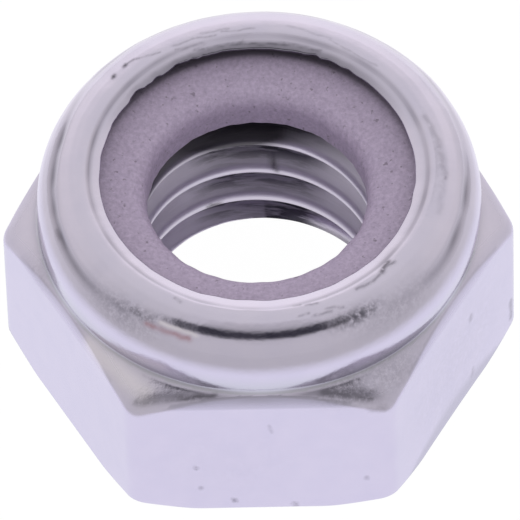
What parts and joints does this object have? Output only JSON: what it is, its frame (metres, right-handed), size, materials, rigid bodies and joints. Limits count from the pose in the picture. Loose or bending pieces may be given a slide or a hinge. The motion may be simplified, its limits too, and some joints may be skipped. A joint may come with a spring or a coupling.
{
  "type": "nylon insert lock nut",
  "caption": "Hexagon nut with a round collar crimped over a nylon ring that grips the bolt's thread, so the nut does not shake loose.",
  "frame": {"origin": "centre of the bearing face, on the thread's axis", "axes": "+Z along the thread's axis, towards the crimped crown; two corners of the hexagon on X, flats facing -Y and +Y"},
  "size_m": [0.0112, 0.0098, 0.0059],
  "materials": {
    "steel": "tumbled bright steel with fine tool marks, pits and light stains",
    "nylon": "matte grey-mauve polyamide, finely speckled"
  },
  "bodies": {
    "root": {"nut_body": "steel", "nylon_insert": "nylon"}
  },
  "joints": []
}
